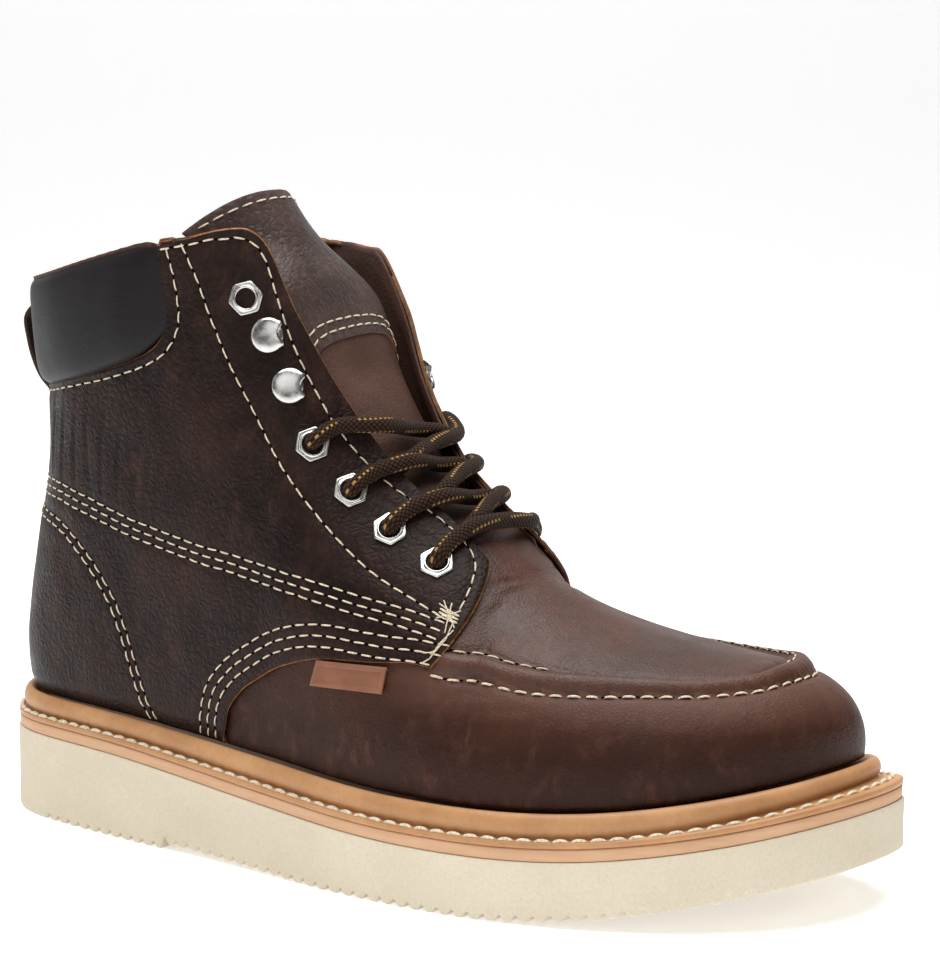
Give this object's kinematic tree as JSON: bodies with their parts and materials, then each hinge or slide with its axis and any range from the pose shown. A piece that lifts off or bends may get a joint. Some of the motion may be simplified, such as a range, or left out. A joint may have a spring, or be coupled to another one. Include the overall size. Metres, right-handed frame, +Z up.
{
  "type": "work boot",
  "caption": "Ankle-high right work boot: laced brown leather upper with a raised toe seam and padded collar, on a cream rippled wedge sole.",
  "frame": {"origin": "middle of the boot's box, on the floor", "axes": "+X from heel to toe, +Y to the medial side, +Z up"},
  "size_m": [0.2997, 0.1114, 0.199],
  "materials": {
    "cream_rubber": "matt, finely pored foam rubber",
    "pink_tan_leather": "matt fibre strip",
    "tan_leather": "satin caramel leather",
    "brown_leather": "satin pebbled leather",
    "soft_brown_leather": "matt soft leather",
    "black_leather": "satin soft leather",
    "sock_fabric": "matt woven cloth",
    "tag_rubber": "satin moulded rubber",
    "nickel": "polished nickel plate",
    "brown_cord": "matt round braid"
  },
  "bodies": {
    "root": {"outsole": "cream_rubber", "midsole": "pink_tan_leather", "insole": "sock_fabric", "welt": "tan_leather", "upper": "brown_leather", "tongue": "soft_brown_leather", "collar_pad": "black_leather", "pull_loop": "brown_leather", "side_tag": "tag_rubber", "lace_crossings": "brown_cord", "eyelet_lat_1": "nickel", "eyelet_lat_2": "nickel", "eyelet_lat_3": "nickel", "eyelet_lat_4": "nickel", "eyelet_lat_5": "nickel", "eyelet_med_1": "nickel", "eyelet_med_2": "nickel", "eyelet_med_3": "nickel", "eyelet_med_4": "nickel", "eyelet_med_5": "nickel", "hook_lat_1": "nickel", "hook_lat_2": "nickel", "hook_med_1": "nickel", "hook_med_2": "nickel"}
  },
  "joints": []
}
